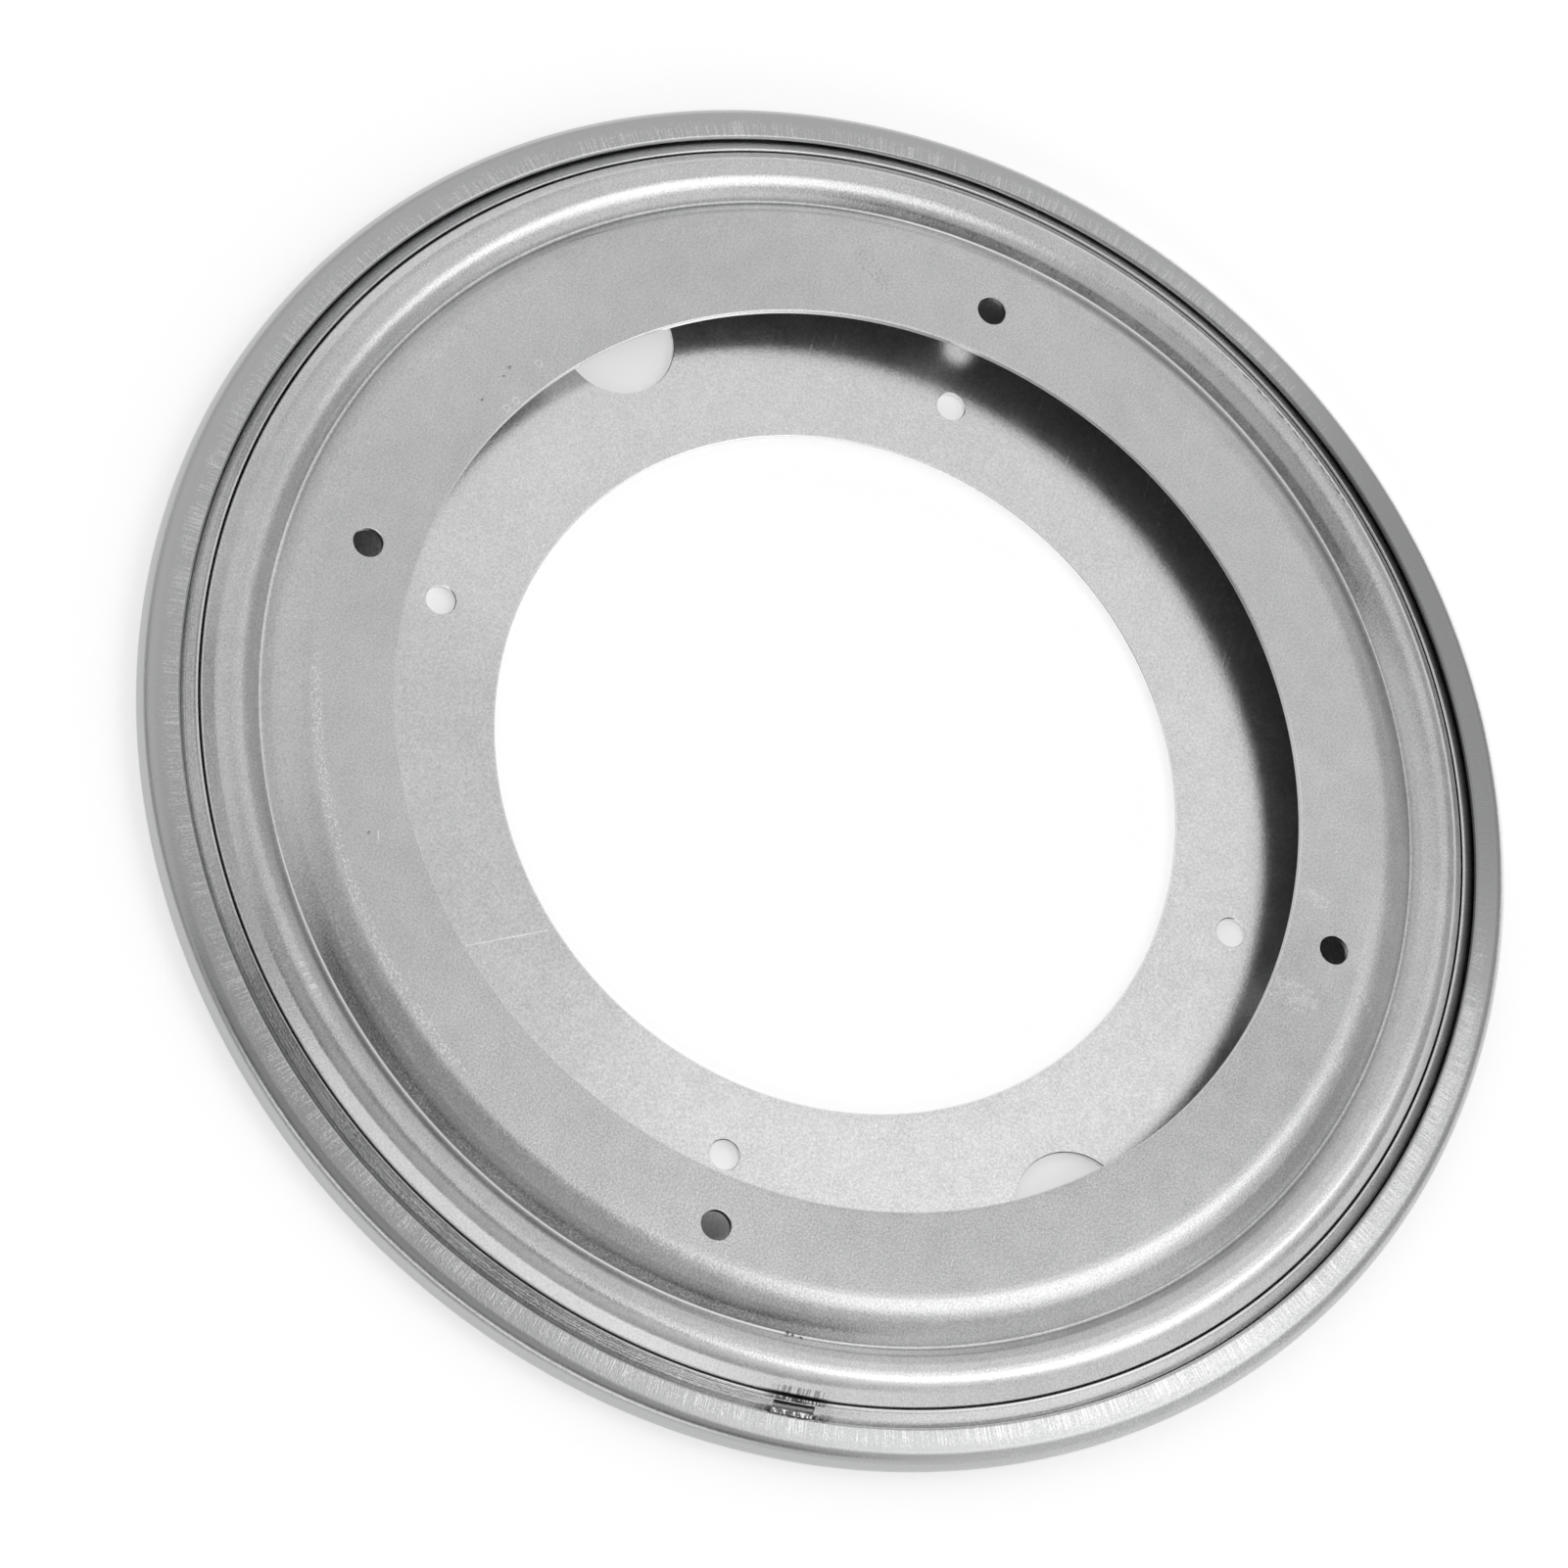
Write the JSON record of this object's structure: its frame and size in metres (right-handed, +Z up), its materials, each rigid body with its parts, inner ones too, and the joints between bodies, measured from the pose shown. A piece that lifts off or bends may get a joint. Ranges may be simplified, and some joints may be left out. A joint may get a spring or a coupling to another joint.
{
  "type": "lazy susan bearing",
  "caption": "Flat round turntable bearing of stamped zinc plated steel: a ring plate with a rolled rim carries a beaded turning plate on caged balls, with screw holes and an open centre.",
  "frame": {"origin": "on the turning axis, at the underside of the base plate", "axes": "+Z up along the turning axis; the screw holes lie on X and Y"},
  "size_m": [0.2286, 0.2286, 0.0095],
  "materials": {
    "base_steel": "zinc plated, dull mottled",
    "turning_steel": "zinc plated, dull mottled",
    "ring_steel": "zinc plated, brighter strip",
    "cage_steel": "plain stamped steel, greased",
    "ball_steel": "polished ball"
  },
  "bodies": {
    "base": {"base_plate": "base_steel"},
    "turning": {"turning_plate": "turning_steel", "dust_ring": "ring_steel"},
    "ball_set": {"ball_cage": "cage_steel", "ball_01": "ball_steel", "ball_02": "ball_steel", "ball_03": "ball_steel", "ball_04": "ball_steel", "ball_05": "ball_steel", "ball_06": "ball_steel", "ball_07": "ball_steel", "ball_08": "ball_steel", "ball_09": "ball_steel", "ball_10": "ball_steel", "ball_11": "ball_steel", "ball_12": "ball_steel", "ball_13": "ball_steel", "ball_14": "ball_steel", "ball_15": "ball_steel", "ball_16": "ball_steel", "ball_17": "ball_steel", "ball_18": "ball_steel", "ball_19": "ball_steel", "ball_20": "ball_steel", "ball_21": "ball_steel", "ball_22": "ball_steel", "ball_23": "ball_steel", "ball_24": "ball_steel"}
  },
  "joints": [
    {"name": "turn", "type": "hinge", "parent": "base", "child": "turning", "pos_m": [0, 0, 0], "axis": [0, 0, 1], "continuous": true},
    {"name": "ball_travel", "type": "hinge", "parent": "base", "child": "ball_set", "pos_m": [0, 0, 0], "axis": [0, 0, 1], "continuous": true}
  ],
  "couplings": [
    {"joint": "ball_travel", "follows": "turn", "ratio": 0.5}
  ]
}
